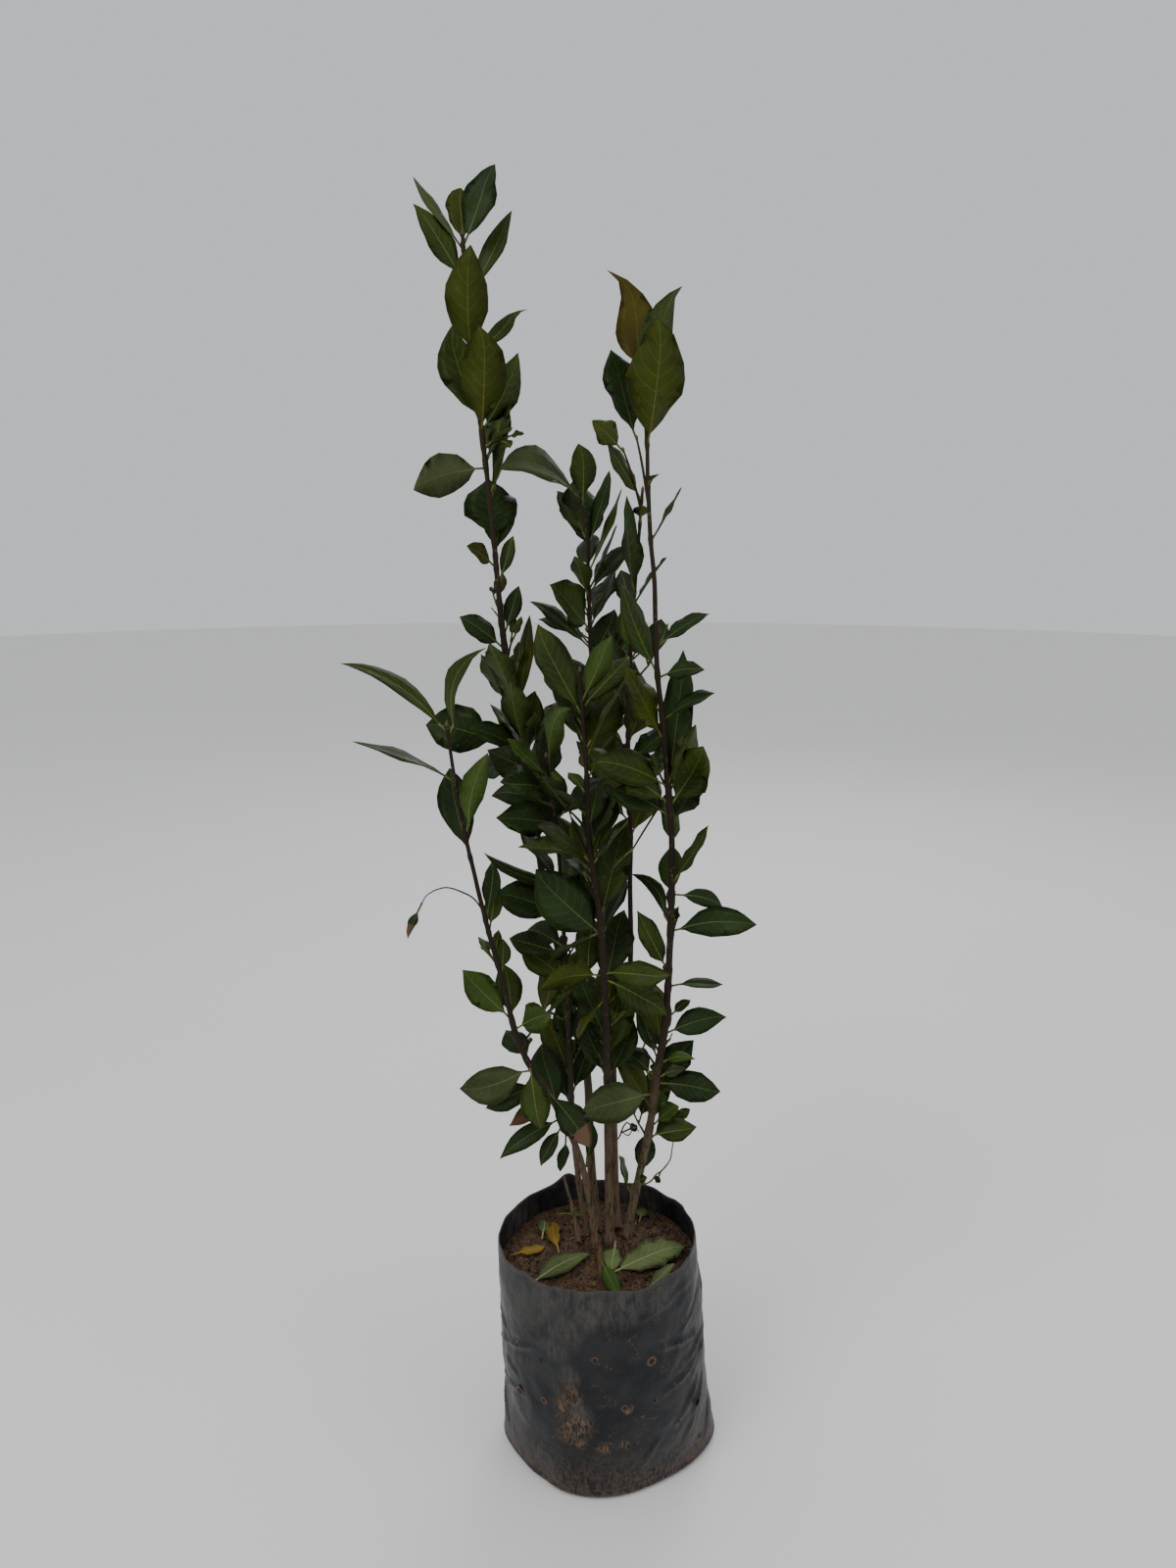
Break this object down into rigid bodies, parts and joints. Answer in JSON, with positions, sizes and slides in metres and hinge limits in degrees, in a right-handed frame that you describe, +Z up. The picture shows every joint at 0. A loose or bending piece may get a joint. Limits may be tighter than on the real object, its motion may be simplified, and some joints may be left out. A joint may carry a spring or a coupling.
{
  "type": "bay laurel in a nursery bag",
  "caption": "Young bay laurel: slender upright stems from one root with leathery pointed leaves, growing in a black polythene nursery bag filled with soil.",
  "frame": {"origin": "middle of the nursery bag's flat underside, on the floor", "axes": "+Z up along the stems, -Y towards the plant's front, +X to the viewer's right"},
  "size_m": [0.3396, 0.2211, 1.1564],
  "materials": {
    "bag": "black polythene film, satin",
    "soil": "reddish brown crumbly soil, matte",
    "bark": "smooth young bark, brown at the foot and olive above",
    "foliage": "leathery evergreen leaves, glossy above and matte below"
  },
  "bodies": {
    "root": {"nursery_bag": "bag", "potting_soil": "soil", "stem_left_tall": "bark", "stem_centre_front": "bark", "stem_centre_back": "bark", "stem_right_back": "bark", "stem_right": "bark", "stem_left_outer": "bark", "stem_left_centre": "bark", "stem_dead_stub": "bark", "foliage_left_tall_middle": "foliage", "foliage_left_tall_upper": "foliage", "foliage_left_tall_crown": "foliage", "foliage_centre_front_lower": "foliage", "foliage_centre_front_middle": "foliage", "foliage_centre_front_crown": "foliage", "foliage_centre_back_middle": "foliage", "foliage_centre_back_crown": "foliage", "foliage_right_back_middle": "foliage", "foliage_right_back_crown": "foliage", "foliage_right_lower": "foliage", "foliage_right_middle": "foliage", "foliage_right_upper": "foliage", "foliage_right_crown": "foliage", "foliage_left_outer_lower": "foliage", "foliage_left_outer_middle": "foliage", "foliage_left_outer_crown": "foliage", "foliage_left_centre_lower": "foliage", "foliage_left_centre_crown": "foliage"}
  },
  "joints": []
}
